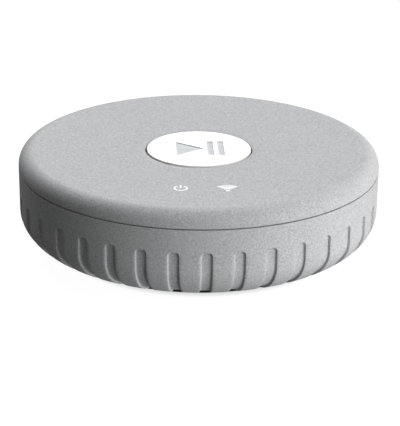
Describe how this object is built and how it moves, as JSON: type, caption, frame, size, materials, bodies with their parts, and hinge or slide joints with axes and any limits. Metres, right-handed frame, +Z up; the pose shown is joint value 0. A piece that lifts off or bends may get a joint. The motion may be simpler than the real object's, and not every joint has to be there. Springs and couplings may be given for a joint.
{
  "type": "streaming media player",
  "caption": "Round table-top network audio player in a grey fluted case with a large play and pause button, two lit status symbols and recessed rear sockets.",
  "frame": {"origin": "centre of the foot ring's underside, on the surface the player stands on", "axes": "+Z up; the front, with the two status symbols, faces -Y; the connector panel faces +Y"},
  "size_m": [0.11, 0.11, 0.0318],
  "materials": {
    "grey_plastic": "fine-grained moulded grey",
    "white_gloss": "polished white",
    "white_inner": "plain moulded white",
    "emblem_grey": "satin silver-grey",
    "black_plastic": "plain black",
    "panel_black": "satin black",
    "switch_black": "plain black",
    "foot_rubber": "matt black",
    "label_foil": "blank silver foil",
    "screw_steel": "zinc plated",
    "spring_steel": "bright wire",
    "plunger_white": "plain white",
    "clear_white": "milky clear",
    "lamp_white": "clear lamp body",
    "board_green": "solder-masked board",
    "board_blue": "solder-masked board",
    "connector_cream": "plain cream",
    "ribbon_white": "flat film",
    "chip_black": "moulded chip body",
    "pad_grey": "soft pad",
    "sink_aluminium": "extruded, clear",
    "ferrite": "pressed ferrite",
    "can_aluminium": "bright can",
    "ceramic": "fired ceramic",
    "shield_metal": "tinned sheet",
    "contact_brass": "gilt",
    "lead_black": "thin sleeve",
    "button_grey": "satin grey"
  },
  "bodies": {
    "case": {"bottom_shell": "grey_plastic", "top_shell": "grey_plastic", "foot_ring": "foot_rubber", "rating_label": "label_foil", "case_screws": "screw_steel", "button_guide": "black_plastic", "button_spring": "spring_steel", "button_switch": "switch_black", "power_light_guide": "clear_white", "wireless_light_guide": "clear_white", "light_baffle": "black_plastic", "status_lamps": "lamp_white", "control_board": "board_green", "control_board_screws": "screw_steel", "control_ribbon_connector": "connector_cream", "ribbon_cable": "ribbon_white", "main_ribbon_connector": "connector_cream", "main_board": "board_green", "main_board_screws": "screw_steel", "processor": "chip_black", "thermal_pad": "pad_grey", "heat_sink": "sink_aluminium", "memory_chips": "chip_black", "program_memory": "chip_black", "audio_converter": "chip_black", "power_regulator": "chip_black", "power_inductors": "ferrite", "filter_capacitors": "can_aluminium", "small_parts": "ceramic", "clock_crystal": "shield_metal", "wireless_module": "board_blue", "wireless_shield": "shield_metal", "antenna_left": "board_green", "antenna_right": "board_green", "antenna_plugs": "contact_brass", "antenna_lead_left": "lead_black", "antenna_lead_right": "lead_black", "connector_panel": "panel_black", "power_socket": "shield_metal", "power_socket_tongue": "switch_black", "line_out_jack": "switch_black", "line_out_contacts": "contact_brass", "optical_socket": "switch_black", "optical_shutter_pin": "spring_steel", "optical_emitter": "clear_white", "setup_switch": "switch_black"},
    "play_button": {"button_cap": "white_gloss", "button_emblem": "emblem_grey", "button_carrier": "white_inner"},
    "switch_plunger": {"button_switch_plunger": "plunger_white"},
    "setup_key": {"setup_button": "button_grey"},
    "setup_plunger": {"setup_switch_plunger": "plunger_white"},
    "shutter": {"optical_shutter": "panel_black"}
  },
  "joints": [
    {"name": "play_button_press", "type": "slide", "parent": "case", "child": "play_button", "axis": [0, 0, -1], "range_m": [0, 0.0006], "stiffness_N_per_m": 400, "springref_m": -0.001, "deforming": ["button_spring"]},
    {"name": "switch_plunger_press", "type": "slide", "parent": "case", "child": "switch_plunger", "axis": [0, 0, -1], "range_m": [0, 0.0006]},
    {"name": "setup_button_press", "type": "slide", "parent": "case", "child": "setup_key", "axis": [0, -1, 0], "range_m": [0, 0.0005], "stiffness_N_per_m": 300, "springref_m": -0.001},
    {"name": "setup_plunger_press", "type": "slide", "parent": "case", "child": "setup_plunger", "axis": [0, -1, 0], "range_m": [0, 0.0005]},
    {"name": "optical_shutter_swing", "type": "hinge", "parent": "case", "child": "shutter", "pos_m": [0.0113, 0.04755, 0.01785], "axis": [-1, 0, 0], "range_deg": [0, 88], "stiffness_Nm_per_rad": 0.0001, "springref_deg": -28.65}
  ],
  "couplings": [
    {"joint": "switch_plunger_press", "follows": "play_button_press", "ratio": 1},
    {"joint": "setup_plunger_press", "follows": "setup_button_press", "ratio": 1}
  ]
}
